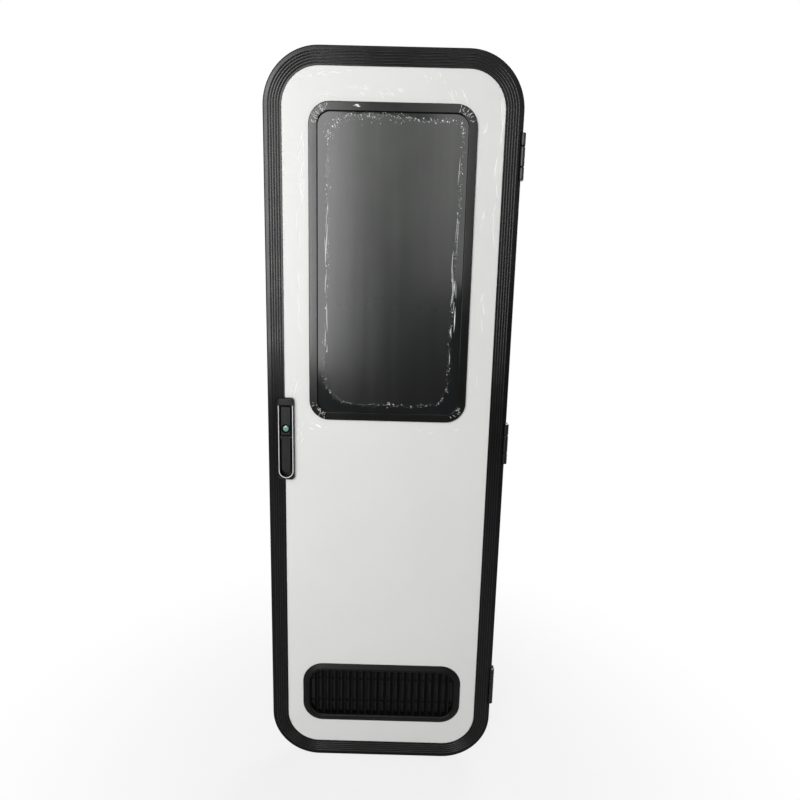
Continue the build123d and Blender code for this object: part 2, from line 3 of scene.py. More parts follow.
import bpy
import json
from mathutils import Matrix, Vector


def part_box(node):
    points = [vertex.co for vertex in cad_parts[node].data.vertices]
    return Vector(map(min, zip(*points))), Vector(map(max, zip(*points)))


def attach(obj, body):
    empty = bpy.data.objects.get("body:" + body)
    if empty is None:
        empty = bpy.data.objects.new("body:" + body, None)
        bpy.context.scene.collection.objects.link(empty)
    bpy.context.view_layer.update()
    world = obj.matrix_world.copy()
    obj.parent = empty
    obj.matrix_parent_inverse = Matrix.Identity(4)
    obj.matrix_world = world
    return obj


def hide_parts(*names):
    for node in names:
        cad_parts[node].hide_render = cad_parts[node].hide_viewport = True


bl_info = {
    "name": "Caravan entry door",
    "version": (1, 0, 0),
    "blender": (4, 5, 0),
    "location": "View3D > Sidebar > Door",
    "description": "Dresses the packed caravan door with its edge band, window, vent, handle and films",
    "category": "Object",
}

import json
import math
import random

import bmesh
import bpy
from mathutils import Matrix, Vector, noise

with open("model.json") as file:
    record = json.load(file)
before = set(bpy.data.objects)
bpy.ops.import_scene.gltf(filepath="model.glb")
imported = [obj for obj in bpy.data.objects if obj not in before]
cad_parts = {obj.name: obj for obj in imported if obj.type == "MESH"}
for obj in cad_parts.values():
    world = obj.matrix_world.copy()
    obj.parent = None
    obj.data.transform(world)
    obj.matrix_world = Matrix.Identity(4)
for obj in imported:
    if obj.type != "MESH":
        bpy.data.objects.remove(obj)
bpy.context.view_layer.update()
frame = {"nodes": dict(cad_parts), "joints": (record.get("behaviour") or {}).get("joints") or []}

MM = 0.001
QUARTER = math.radians(90)
SMOOTH_ANGLE = math.radians(32)
ROUND = 0.998  # share of half a width that a corner takes, just short of a full half round


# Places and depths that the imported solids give. "out" is outwards from the wall, which is -Y.

def out_of(node, front=True):
    """How far a node's front or back face stands out from the wall."""
    low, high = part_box(node)
    return -low.y if front else -high.y


LEAF_LOW, LEAF_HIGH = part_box("leaf_edge_profile")
LEAF_WIDTH = LEAF_HIGH.x - LEAF_LOW.x
LEAF_HEIGHT = LEAF_HIGH.z - LEAF_LOW.z
BAND_FRONT = out_of("leaf_edge_profile")
LEAF_BACK = out_of("leaf_edge_profile", False)
SKIN_FRONT = out_of("outer_skin")
PANEL_BACK = out_of("inner_skin", False)
FLANGE_FRONT = out_of("door_frame")
GLASS_FRONT = out_of("window_pane")
HOUSING_LOW, HOUSING_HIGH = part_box("handle_housing")
HANDLE_X = (HOUSING_LOW.x + HOUSING_HIGH.x) / 2
HANDLE_FRONT = out_of("handle_housing")
HINGE_PLACES = ("bottom", "middle", "top")


def linear(code):
    """A hex colour in sRGB as linear red, green and blue."""
    parts = [int(code[i:i + 2], 16) / 255 for i in (1, 3, 5)]
    return [c / 12.92 if c <= 0.04045 else ((c + 0.055) / 1.055) ** 2.4 for c in parts]


def length(label, about, default):
    """A size in metres that a user may change."""
    return bpy.props.FloatProperty(name=label, description=about, default=default, unit="LENGTH")


def tint(label, about, code):
    """A colour that a user may change."""
    return bpy.props.FloatVectorProperty(
        name=label, description=about, default=linear(code), subtype="COLOR", min=0, max=1
    )


class DoorSizes(bpy.types.PropertyGroup):
    """Sizes of what the scene models itself."""

    leaf_radius: length("Leaf corner", "Outer corner radius of the leaf", 130 * MM)
    band_width: length("Band width", "Width of the ribbed edge band", 43 * MM)
    band_depth: length("Band depth", "Depth of the band's outer edge", 10 * MM)
    band_edge: length("Band edge", "Rounding of the band's outer edge", 3.2 * MM)
    rim_width: length("Rim width", "Plain rim outside the ribs", 9.5 * MM)
    rib_pitch: length("Rib pitch", "Distance from rib to rib", 6.1 * MM)
    rib_height: length("Rib height", "Height of a rib above its valleys", 1.2 * MM)
    rib_width: length("Rib width", "Width of a rib at its foot", 3.5 * MM)
    rib_count: bpy.props.IntProperty(name="Ribs", description="Ribs across the band", default=5, min=1)
    web_outer: length("Web inset", "Inset of the band's web from the leaf's outline", 35 * MM)
    web_thickness: length("Web thickness", "Thickness of the web and the back lip", 3 * MM)
    back_lip: length("Back lip", "Width of the lip behind the panel", 10 * MM)
    window_radius: length("Window corner", "Outer corner radius of the window bezel", 50 * MM)
    bezel_width: length("Bezel width", "Width of the window bezel", 20 * MM)
    gasket_sight: length("Gasket sight", "Rubber seen inside the bezel", 1.0 * MM)
    vent_radius: length("Vent corner", "Outer corner radius of the vent", 55 * MM)
    vent_rim: length("Vent rim", "Width of the vent's rim", 20 * MM)
    blade_count: bpy.props.IntProperty(name="Blades", description="Upright vent blades", default=20, min=1)
    blade_pitch: length("Blade pitch", "Distance from blade to blade", 19 * MM)
    recess_width: length("Recess width", "Width of the handle's recess", 31 * MM)
    wrinkle_width: length("Wrinkle width", "Width of a fold in the protective film", 2.2 * MM)
    bubble_size: length("Bubble size", "Size of the largest bubbles under the window film", 2.4 * MM)


class DoorColours(bpy.types.PropertyGroup):
    """Colours of the finishes."""

    coat: tint("Powder coat", "Dark powder coat of band, frame and hinges", "#0d0c0c")
    panel: tint("Gel coat", "White panel", "#dcdcda")
    abs_black: tint("Black plastic", "Moulded vent and handle", "#0d0d0d")
    paddle: tint("Paddle", "Matt pull paddle", "#262626")
    bezel: tint("Bezel", "Satin black window bezel", "#0f0f0e")
    glass: tint("Pane", "Tinted acrylic pane", "#0f1112")
    rubber: tint("Rubber", "Seals and gasket", "#0e0e0e")
    mint: tint("Lock face", "Mint lock face", "#6a9b8c")
    # The film's high and low colours are a painted reflection: lighter high up on the pane, darker low down
    film_top_painted_reflection: tint("Film, high", "Hazy film high on the pane", "#414440")
    film_low_painted_reflection: tint("Film, low", "Hazy film low on the pane", "#0f0f11")
    # Near-white for the films' folds and bubbles: partly film lifted on air, partly a painted highlight for their
    # glints
    fold: tint("Film fold", "Folds and bubbles of the films", "#fcfbf9")


# Materials

def add(tree, kind, inputs=None, out=0, **settings):
    """Adds a node with its settings and gives one of its outputs.
    An input that is a socket is linked, any other is set."""
    made = tree.nodes.new(kind)
    for name, value in settings.items():
        setattr(made, name, value)
    for key, value in (inputs or {}).items():
        if isinstance(value, bpy.types.NodeSocket):
            tree.links.new(value, made.inputs[key])
        else:
            made.inputs[key].default_value = value
    return made.outputs[out]


def new_finish(name, **constants):
    """A material with its shader, and the tree and place on the piece to build on."""
    material = bpy.data.materials.new(name)
    material.use_nodes = True
    tree = material.node_tree
    shader = tree.nodes["Principled BSDF"]
    for key, value in constants.items():
        shader.inputs[key.replace("_", " ")].default_value = value
    return material, tree, shader, add(tree, "ShaderNodeTexCoord", out="Object")


def shades(colour, *shares):
    """A colour made lighter or darker, once for each share, with its alpha."""
    return [(*[min(1.0, c * share) for c in colour], 1) for share in shares]


def vary(tree, shader, colour, sheen, relief=None, span=(0.0, 1.0)):
    """Varies a finish over its surface. Colour and sheen are a pattern with their values at its two ends,
    relief is a pattern with its strength and depth, and span is the part of the sheen's pattern that counts."""
    mixed = add(tree, "ShaderNodeMix", dict(zip((0, 6, 7), colour)), 2, data_type="RGBA")
    tree.links.new(mixed, shader.inputs["Base Color"])
    ends = dict(zip(("Value", "To Min", "To Max", "From Min", "From Max"), (*sheen, *span)))
    tree.links.new(add(tree, "ShaderNodeMapRange", ends), shader.inputs["Roughness"])
    if relief:
        bump = add(tree, "ShaderNodeBump", dict(zip(("Height", "Strength", "Distance"), relief)))
        tree.links.new(bump, shader.inputs["Normal"])


def mottled(name, colour, shares, sheen, size, detail, upright=1.0, **constants):
    """A finish that one noise of a given size varies in colour and sheen, drawn out upright where asked."""
    material, tree, shader, place = new_finish(name, **constants)
    drawn = add(tree, "ShaderNodeMapping", {"Vector": place, "Scale": (1, 1, upright)})
    mottle = add(tree, "ShaderNodeTexNoise", {"Vector": drawn, "Scale": 1 / size, "Detail": detail})
    vary(tree, shader, (mottle, *shades(colour, *shares)), (mottle, *sheen))
    return material


def powder_coat(name, colour, roughness, specular, crest):
    """Powder-coated aluminium: baked dry powder flows into a fine orange peel that breaks up the gloss,
    and handling rubs the foremost crests shinier."""
    material, tree, shader, place = new_finish(name, IOR=1.5)
    y = add(tree, "ShaderNodeSeparateXYZ", {"Vector": place}, "Y")
    rubbed = add(
        tree, "ShaderNodeMapRange",
        {"Value": y, "From Min": 0.6 * MM - BAND_FRONT, "From Max": 0.15 * MM - BAND_FRONT,
         "To Min": specular, "To Max": crest},
    )
    tree.links.new(rubbed, shader.inputs["Specular IOR Level"])
    peel = add(tree, "ShaderNodeTexNoise", {"Vector": place, "Scale": 1 / (1.1 * MM), "Detail": 2})
    cloud = add(tree, "ShaderNodeTexNoise", {"Vector": place, "Scale": 1 / (70 * MM), "Detail": 4})
    vary(tree, shader, (cloud, *shades(colour, 0.75, 1.3)), (cloud, roughness - 0.03, roughness + 0.05),
         (peel, 0.4, 0.03 * MM), (0.3, 0.7))
    return material


def gel_coat(colour):
    """White gel coat on a thin skin: glossy, with a faint long ripple from the core behind it."""
    material, tree, shader, place = new_finish("white_gel_coat", IOR=1.5, Specular_IOR_Level=0.2)
    ripple = add(tree, "ShaderNodeTexNoise", {"Vector": place, "Scale": 1 / (45 * MM), "Detail": 3})
    dust = add(tree, "ShaderNodeTexNoise", {"Vector": place, "Scale": 1 / (160 * MM), "Detail": 5})
    vary(tree, shader, (dust, *shades(colour, 0.965, 1.03)), (dust, 0.26, 0.4), (ripple, 0.1, 0.25 * MM))
    return material


def moulded_plastic(name, colour, roughness, grain, specular):
    """Moulded black plastic: the tool's spark-eroded grain leaves small pits and a dull sheen."""
    material, tree, shader, place = new_finish(name, IOR=1.53, Specular_IOR_Level=specular)
    pits = add(tree, "ShaderNodeTexVoronoi", {"Vector": place, "Scale": 1 / grain}, "Distance")
    cloud = add(tree, "ShaderNodeTexNoise", {"Vector": place, "Scale": 1 / (25 * MM), "Detail": 4})
    vary(tree, shader, (cloud, *shades(colour, 0.7, 1.35)), (cloud, roughness - 0.06, roughness + 0.1),
         (pits, 0.3, 0.04 * MM))
    return material


def tinted_acrylic(colour):
    """Cast acrylic, tinted in the mass: near black and glossy, with fine upright wipe marks."""
    return mottled("tinted_acrylic", colour, (0.7, 1.5), (0.05, 0.16), 14 * MM, 5, 0.12,
                   IOR=1.49, Specular_IOR_Level=0.64)


def hazy_film_painted_reflection(high, low, z_low, z_high):
    """Protective film on the pane: hazy polyethylene with pulled upright streaks, and a painted reflection that
    makes its colour lighter high up and darker low down.
    """
    material, tree, shader, place = new_finish("window_protective_film", IOR=1.5, Specular_IOR_Level=0.6)
    z = add(tree, "ShaderNodeSeparateXYZ", {"Vector": place}, "Z")
    height = add(tree, "ShaderNodeMapRange", {"Value": z, "From Min": z_low, "From Max": z_high},
                 interpolation_type="SMOOTHSTEP")
    drawn = add(tree, "ShaderNodeMapping", {"Vector": place, "Scale": (1, 1, 0.05)})
    streak = add(tree, "ShaderNodeTexNoise", {"Vector": drawn, "Scale": 1 / (22 * MM), "Detail": 3})
    milk = add(tree, "ShaderNodeTexNoise", {"Vector": place, "Scale": 1 / (120 * MM), "Detail": 3})
    # Painted reflection: the colour runs from the dark low colour up to the lighter high colour, standing in for the
    # surroundings reflected in the pane
    base = add(tree, "ShaderNodeMix", {0: height, 6: (*low, 1), 7: (*high, 1)}, 2, data_type="RGBA")
    pulled = add(tree, "ShaderNodeMix", {0: streak, 6: base, 7: (*low, 1)}, 2, data_type="RGBA")
    vary(tree, shader, (milk, pulled, base), (streak, 0.14, 0.26), (streak, 0.1, 0.4 * MM))
    return material


def film_fold(colour):
    """Loose polyethylene film: thin folds with air under them look whitish, and their near-white colour also carries
    a painted highlight for their glints.
    """
    return mottled("protective_film_folds", colour, (0.88, 1.05), (0.1, 0.3), 3 * MM, 4,
                   IOR=1.5, Coat_Weight=0.8, Coat_Roughness=0.06)


def soft_rubber(name, colour, specular):
    """Extruded or foamed rubber: matt black with a faint bloom."""
    return mottled(name, colour, (0.7, 2.0), (0.55, 0.8), 9 * MM, 5, IOR=1.52, Specular_IOR_Level=specular)


def plated_metal(name, code, low, high, grain):
    """Plated metal, bright chrome or dull zinc: a fine upright grain spreads the highlight."""
    return mottled(name, linear(code), (0.9, 1.05), (low, high), grain, 3, 0.08, Metallic=1.0)


def mint_enamel(colour):
    """Stove-enamelled lock face: glossy mint with fine specks."""
    return mottled("mint_enamel", colour, (0.75, 1.2), (0.15, 0.3), 1.5 * MM, 3,
                   IOR=1.52, Coat_Weight=0.7, Coat_Roughness=0.08)


def rigid_foam():
    """Closed-cell foam core: cut cells show as pale pits."""
    material, tree, shader, place = new_finish("rigid_foam", Specular_IOR_Level=0.2)
    cells = add(tree, "ShaderNodeTexVoronoi", {"Vector": place, "Scale": 1 / (1.2 * MM)}, "Distance")
    vary(tree, shader, (cells, (*linear("#e9e0bd"), 1), (*linear("#cbbf93"), 1)), (cells, 0.75, 0.95))
    return material


def woven_screen():
    """Woven insect screen: dark coated yarn on a square mesh, drawn coarser than the real 1.2 mm to show."""
    material, tree, shader, place = new_finish("woven_insect_screen", Specular_IOR_Level=0.3)
    pitch = 2.4 * MM
    yarns = [add(tree, "ShaderNodeTexWave", {"Vector": place, "Scale": 1 / pitch / 6}, "Fac", bands_direction=axis)
             for axis in "XZ"]
    yarn = add(tree, "ShaderNodeMath", dict(enumerate(yarns)), operation="MAXIMUM")
    vary(tree, shader, (yarn, (*linear("#080808"), 1), (*linear("#232323"), 1)), (yarn, 0.9, 0.5),
         (yarn, 0.6, 0.4 * MM))
    return material


finishes = {}


def make_finishes(colours):
    """Makes each finish once."""
    pane_low, pane_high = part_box("window_pane")
    finishes["coat"] = powder_coat("dark_powder_coat", colours.coat, 0.2, 0.22, 0.46)
    finishes["panel"] = gel_coat(colours.panel)
    finishes["abs"] = moulded_plastic("moulded_black_abs", colours.abs_black, 0.34, 0.9 * MM, 0.16)
    finishes["nylon"] = moulded_plastic("satin_black_nylon", colours.abs_black, 0.4, 0.7 * MM, 0.26)
    finishes["paddle"] = moulded_plastic("matt_black_nylon", colours.paddle, 0.5, 0.7 * MM, 0.1)
    finishes["bezel"] = powder_coat("satin_black_bezel", colours.bezel, 0.17, 0.42, 0.42)
    finishes["pane"] = tinted_acrylic(colours.glass)
    finishes["haze_and_painted_reflection"] = hazy_film_painted_reflection(colours.film_top_painted_reflection, colours.film_low_painted_reflection, pane_low.z, pane_high.z)
    finishes["fold"] = film_fold(colours.fold)
    finishes["rubber"] = soft_rubber("epdm_rubber", colours.rubber, 0.15)
    # Painted shade: near black with almost no gloss, for the dust seal that fills the lock head's recess where the
    # shade falls
    finishes["dust_seal_and_shade"] = soft_rubber("matt_rubber_painted_shade", linear("#080808"), 0.03)
    finishes["chrome"] = plated_metal("satin_chrome_plate", "#fafafa", 0.62, 0.74, 2 * MM)
    finishes["steel"] = plated_metal("zinc_plated_steel", "#a9abae", 0.28, 0.45, 1 * MM)
    finishes["mint"] = mint_enamel(colours.mint)
    finishes["foam"] = rigid_foam()
    finishes["screen"] = woven_screen()


def dress(finish, *nodes):
    """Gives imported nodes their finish."""
    for node in nodes:
        data = frame["nodes"][node].data
        data.materials.clear()
        data.materials.append(finishes[finish])


# Shapes

def object_of(bm, name):
    """A bmesh as an object in the scene."""
    data = bpy.data.meshes.new(name)
    bm.to_mesh(data)
    bm.free()
    made = bpy.data.objects.new(name, data)
    bpy.context.scene.collection.objects.link(made)
    return made


def cutter_of(bm, name):
    """A bmesh as a loose object that carves a piece and is then removed."""
    bmesh.ops.recalc_face_normals(bm, faces=bm.faces)
    return object_of(bm, name)


def bake(made):
    """Puts what an object's modifiers make into its mesh."""
    bpy.context.view_layer.update()
    shape = made.evaluated_get(bpy.context.evaluated_depsgraph_get())
    made.data = bpy.data.meshes.new_from_object(shape)
    made.data.name = made.name
    made.modifiers.clear()


def finish_piece(bm, name, finish, body="leaf", replaces=(), carve=()):
    """Makes a piece of a bmesh: closed, smooth, carved where asked, and riding on its body."""
    bmesh.ops.remove_doubles(bm, verts=bm.verts, dist=0.002 * MM)
    bmesh.ops.recalc_face_normals(bm, faces=bm.faces)
    made = object_of(bm, name)
    for operation, cutter in carve:
        carved = made.modifiers.new("carve", "BOOLEAN")
        carved.operation = operation
        carved.solver = "EXACT"
        carved.object = cutter
    bake(made)
    for _, cutter in carve:
        bpy.data.objects.remove(cutter)
    made.data.materials.clear()
    made.data.materials.append(finishes[finish])
    for face in made.data.polygons:
        face.use_smooth = True
    made.data.set_sharp_from_angle(angle=SMOOTH_ANGLE)
    # Normals weighted by area, so that flats stay flat between their rounded edges
    made.modifiers.new("weigh", "WEIGHTED_NORMAL").keep_sharp = True
    bake(made)
    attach(made, body)
    if replaces:
        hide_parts(*replaces)


def ease(bm, geom, size, segments, affect="EDGES"):
    """Rounds edges or corners off."""
    bmesh.ops.bevel(
        bm, geom=geom, offset=size, offset_type="OFFSET", segments=segments, profile=0.5, affect=affect, material=-1
    )


def raise_faces(bm, faces, out):
    """Extrudes faces outwards from the wall and keeps their back."""
    raised = bmesh.ops.extrude_face_region(bm, geom=faces, use_keep_orig=True)["geom"]
    moved = [v for v in raised if isinstance(v, bmesh.types.BMVert)]
    bmesh.ops.translate(bm, verts=moved, vec=(0, -out, 0))


def draw_along(bm, legs):
    """Draws an outline along legs of (centre, move, angle, steps), each a straight move or a turn."""
    moving = list(bm.verts) + list(bm.edges)
    for centre, move, angle, steps in legs:
        moving = bmesh.ops.spin(
            bm, geom=moving, cent=centre, axis=(0, -1, 0), dvec=move, angle=angle, steps=steps,
            use_merge=False, use_duplicate=False,
        )["geom_last"]


def sweep_ring(section, easings, width, height, radius, low, steps=16):
    """Sweeps a section of (inset, out) points round a rounded outline.
    Easings are (size, point numbers): those corners of the section are rounded first."""
    bm = bmesh.new()
    corners = [bm.verts.new((0, -out, low + inset)) for inset, out in section]
    bm.faces.new(corners)
    for size, numbers in easings:
        ease(bm, [corners[n] for n in numbers], size, 4, "VERTICES")
    bmesh.ops.delete(bm, geom=list(bm.faces), context="FACES_ONLY")
    run_x = width / 2 - radius
    run_z = height - 2 * radius
    still = (0, 0, 0)
    legs = []
    for move, x, z in (
        ((run_x, 0, 0), run_x, 0), ((0, 0, run_z), run_x, run_z), ((-2 * run_x, 0, 0), -run_x, run_z),
        ((0, 0, -run_z), -run_x, 0),
    ):
        legs += [(still, move, 0, 1), ((x, 0, low + radius + z), still, QUARTER, steps)]
    draw_along(bm, legs + [(still, (run_x, 0, 0), 0, 1)])
    return bm


def turned(outline, centre_x, centre_z):
    """An outline of (radius, y) points turned round an axis that stands out from the wall."""
    bm = bmesh.new()
    chain = [bm.verts.new((centre_x + out, y, centre_z)) for out, y in outline]
    for here, there in zip(chain, chain[1:]):
        bm.edges.new((here, there))
    bmesh.ops.spin(
        bm, geom=chain + list(bm.edges), cent=(centre_x, 0, centre_z), axis=(0, 1, 0), dvec=(0, 0, 0),
        angle=4 * QUARTER, steps=48, use_merge=True, use_duplicate=False,
    )
    return bm


def block(bm, low, high, edge=0.0, segments=2):
    """Adds a box between two corners with its edges rounded off."""
    low, high = Vector(low), Vector(high)
    size = high - low
    made = bmesh.ops.create_cube(
        bm, size=1, matrix=Matrix.Translation((low + high) / 2) @ Matrix.Diagonal((*size, 1))
    )["verts"]
    if edge:
        ease(bm, list(dict.fromkeys(e for v in made for e in v.link_edges)), edge, segments)


def rod(bm, centre, direction, radius, span, edge=0.0):
    """Adds a round bar about a centre along a direction with its rims rounded off."""
    turn = Vector(direction).to_track_quat("Z", "Y").to_matrix().to_4x4()
    made = bmesh.ops.create_cone(
        bm, cap_ends=True, segments=32, radius1=radius, radius2=radius, depth=span,
        matrix=Matrix.Translation(centre) @ turn,
    )["verts"]
    if edge:
        edges = dict.fromkeys(e for v in made for e in v.link_edges)
        ease(bm, [e for e in edges if any(len(f.verts) > 4 for f in e.link_faces)], edge, 3)


def slab(bm, low, high, corners, out_low, out_high, edge=0.0, back_edge=0.0):
    """Adds a plate that stands out from the wall between two (x, z) corners.
    Corners are the radii of the lower left, lower right, upper right and upper left corner."""
    (x0, z0), (x1, z1) = low, high
    before = set(bm.faces)
    start = [bm.verts.new((x, -out_low, z)) for x, z in ((x0, z0), (x1, z0), (x1, z1), (x0, z1))]
    bm.faces.new(start)
    for vert, radius in zip(start, corners):
        if radius:
            ease(bm, [vert], radius, 12, "VERTICES")
    raise_faces(bm, [f for f in bm.faces if f not in before], out_high - out_low)
    for size, out in ((edge, out_high), (back_edge, out_low)):
        if size:
            ease(bm, [e for e in bm.edges if all(abs(v.co.y + out) < 0.001 * MM for v in e.verts)], size, 3)


def screws(name, out, grids, facing, radius, body="leaf"):
    """Round steel screw heads with a socket, facing outwards (-1) or inwards (1), on grids of x and z places."""
    bm = bmesh.new()
    turn = Vector((0, facing, 0)).to_track_quat("Z", "Y").to_matrix().to_4x4()
    for x, z in [(x, z) for across, up in grids for x in across for z in up]:
        head = bmesh.ops.create_cone(
            bm, cap_ends=True, segments=18, radius1=radius, radius2=radius * 0.62, depth=radius * 0.7,
            matrix=Matrix.Translation((x, -out + facing * radius * 0.35, z)) @ turn,
        )["verts"]
        top = max((f for v in head for f in v.link_faces if len(f.verts) > 4),
                  key=lambda f: facing * f.calc_center_median().y)
        bmesh.ops.inset_region(bm, faces=[top], thickness=radius * 0.26, depth=0)
        bmesh.ops.inset_region(bm, faces=[top], thickness=radius * 0.02, depth=-radius * 0.4)
    finish_piece(bm, name, "steel", body)


def fold(bm, place, lean, span, width, bow):
    """One raised fold of film: a low bowed ridge that runs out to nothing at both ends."""
    made = bmesh.ops.create_grid(bm, x_segments=6, y_segments=2, size=0.5)["verts"]
    turn = Matrix.Rotation(math.radians(-lean), 4, "Y")
    for vert in made:
        along, across = vert.co.x, vert.co.y
        taper = 1 - (2 * along) ** 2
        ridge = taper * (1 - (2 * across) ** 2)
        vert.co = (along * span, -ridge * width * 0.32, across * width * (0.15 + taper) + bow * width * taper)
    bmesh.ops.transform(bm, matrix=Matrix.Translation(place) @ turn, verts=made)


def body_size(node):
    """Outline of a rounded ring node: width, height and lower edge."""
    low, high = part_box(node)
    return high.x - low.x, high.z - low.z, low.z


# Operators

class DOOR_OT_stage(bpy.types.Operator):
    """Makes the finishes, the pale floor, the soft lights and the camera"""

    bl_idname = "door.stage"
    bl_label = "Stage, lights and camera"

    # Soft boxes: name, place, target, width, height, power
    lamps = (
        ("window", (-1.0, -3.5, 1.85), (-1.0, 0, 1.4), 1.1, 2.6, 18),
        ("far_window", (-2.5, -3.5, 1.85), (-2.5, 0, 1.4), 1.8, 2.6, 43),
        ("gap", (-1.08, -3.45, 1.9), (-1.08, 0, 1.5), 0.36, 2.4, 18),
        ("ceiling", (0.1, -3.5, 4.3), (0.1, 0, 1.9), 2.2, 0.4, 14),
        ("fill", (0.42, -3.5, 2.2), (0.42, 0, 2.0), 0.36, 1.8, 1.8),
        ("right", (2.8, -1.8, 1.6), (0.3, 0, 1.1), 0.5, 2.2, 5),
        ("back", (1.5, 2.8, 2.6), (0, 0, 0.9), 2.4, 2.4, 40),
    )

    def execute(self, context):
        scene = context.scene
        scene.view_settings.view_transform = "Standard"
        make_finishes(scene.door_colours)
        self.floor()
        self.world(scene)
        for row in self.lamps:
            self.lamp(scene, *row)
        self.camera(scene)
        return {"FINISHED"}

    def floor(self):
        """A wide pale floor under the door."""
        bm = bmesh.new()
        bmesh.ops.create_grid(bm, x_segments=1, y_segments=1, size=9)
        made = object_of(bm, "floor")
        material, tree, shader, place = new_finish(
            "pale_floor", Base_Color=(0.64, 0.64, 0.64, 1), Roughness=0.9, Specular_IOR_Level=0.1
        )
        # White where the camera, gloss and glass see the floor, with the shadow kept near the door's foot,
        # and plain pale floor on the lamps' side
        far = add(tree, "ShaderNodeVectorMath", {0: place}, "Value", operation="LENGTH")
        rise = add(
            tree, "ShaderNodeMapRange",
            {"Value": far, "From Min": 0.25, "From Max": 1.3, "To Min": 0.8, "To Max": 1.0},
            interpolation_type="SMOOTHSTEP",
        )
        y = add(tree, "ShaderNodeSeparateXYZ", {"Vector": place}, "Y")
        behind = add(tree, "ShaderNodeMapRange", {"Value": y, "From Min": 0.0, "From Max": 0.3},
                     interpolation_type="SMOOTHSTEP")
        share = add(tree, "ShaderNodeMath", {0: rise, 1: self.seen(tree, behind)}, operation="MULTIPLY")
        white = add(tree, "ShaderNodeEmission", {"Color": (1, 1, 1, 1), "Strength": 1.0})
        mixed = add(tree, "ShaderNodeMixShader", {0: share, 1: shader.outputs["BSDF"], 2: white})
        tree.links.new(mixed, tree.nodes["Material Output"].inputs["Surface"])
        made.data.materials.append(material)

    def seen(self, tree, gloss):
        """One for the camera's rays, the given share for rays of gloss and through glass, nought for the rest."""
        rays = add(tree, "ShaderNodeLightPath").node.outputs
        shiny = add(tree, "ShaderNodeMath", {0: rays["Is Glossy Ray"], 1: rays["Is Transmission Ray"]},
                    operation="MAXIMUM")
        part = add(tree, "ShaderNodeMath", {0: shiny, 1: gloss}, operation="MULTIPLY")
        return add(tree, "ShaderNodeMath", {0: rays["Is Camera Ray"], 1: part}, operation="MAXIMUM")

    def world(self, scene):
        """An even soft light and a white backdrop, which gloss and glass see behind the door and above the lamps,
        and dimmer on the lamps' side and straight overhead."""
        scene.world = bpy.data.worlds.new("studio")
        scene.world.use_nodes = True
        tree = scene.world.node_tree
        light = tree.nodes["Background"]
        light.inputs["Color"].default_value = (0.97, 0.985, 1, 1)
        light.inputs["Strength"].default_value = 0.16
        white = add(tree, "ShaderNodeBackground", {"Color": (1, 1, 1, 1), "Strength": 1.0})
        towards = add(tree, "ShaderNodeTexCoord", out="Generated")
        axes = add(tree, "ShaderNodeSeparateXYZ", {"Vector": towards}).node.outputs
        # Shares of the white: axis of the direction, its start and end, share at the start and at the end
        behind, above, overhead = [
            add(
                tree, "ShaderNodeMapRange",
                {"Value": axes[axis], "From Min": start, "From Max": end, "To Min": first, "To Max": last},
                interpolation_type="SMOOTHSTEP",
            )
            for axis, start, end, first, last in (
                ("Y", 0.0, 0.55, 0.0, 1.0), ("Z", 0.0, 0.3, 0.0, 0.7), ("Z", 0.4, 0.75, 1.0, 0.0)
            )
        ]
        strip = add(tree, "ShaderNodeMath", {0: above, 1: overhead}, operation="MULTIPLY")
        backdrop = add(tree, "ShaderNodeMath", {0: behind, 1: strip}, operation="MAXIMUM")
        mixed = add(tree, "ShaderNodeMixShader",
                    {0: self.seen(tree, backdrop), 1: light.outputs["Background"], 2: white})
        tree.links.new(mixed, tree.nodes["World Output"].inputs["Surface"])

    def lamp(self, scene, name, place, target, width, height, power):
        """A soft box that faces the door."""
        data = bpy.data.lights.new(name, "AREA")
        data.shape = "RECTANGLE"
        data.size = width
        data.size_y = height
        data.energy = power
        data.spread = math.radians(125)
        made = bpy.data.objects.new(name, data)
        made.location = place
        made.rotation_euler = (Vector(target) - Vector(place)).to_track_quat("-Z", "Y").to_euler()
        scene.collection.objects.link(made)

    def camera(self, scene):
        """The photograph's viewpoint: a near wide lens a little above mid-height, tilted down and rolled."""
        tilt, yaw, roll = (math.radians(a) for a in (10.97, 0.196, 1.403))
        ahead = Vector((0, math.cos(tilt), -math.sin(tilt)))
        above = Vector((0, math.sin(tilt), math.cos(tilt)))
        right = Vector((math.cos(roll), 0, 0)) + above * math.sin(roll)
        up = above * math.cos(roll) - Vector((math.sin(roll), 0, 0))
        turn = Matrix.Rotation(yaw, 3, "Z")
        axes = Matrix([turn @ right, turn @ up, -(turn @ ahead)]).transposed()
        data = bpy.data.cameras.new("camera")
        data.lens = 27
        data.sensor_width = 36
        made = bpy.data.objects.new("camera", data)
        made.matrix_world = Matrix.Translation((0.0364, -1.47 - BAND_FRONT, 1.307)) @ axes.to_4x4()
        scene.collection.objects.link(made)
        scene.camera = made


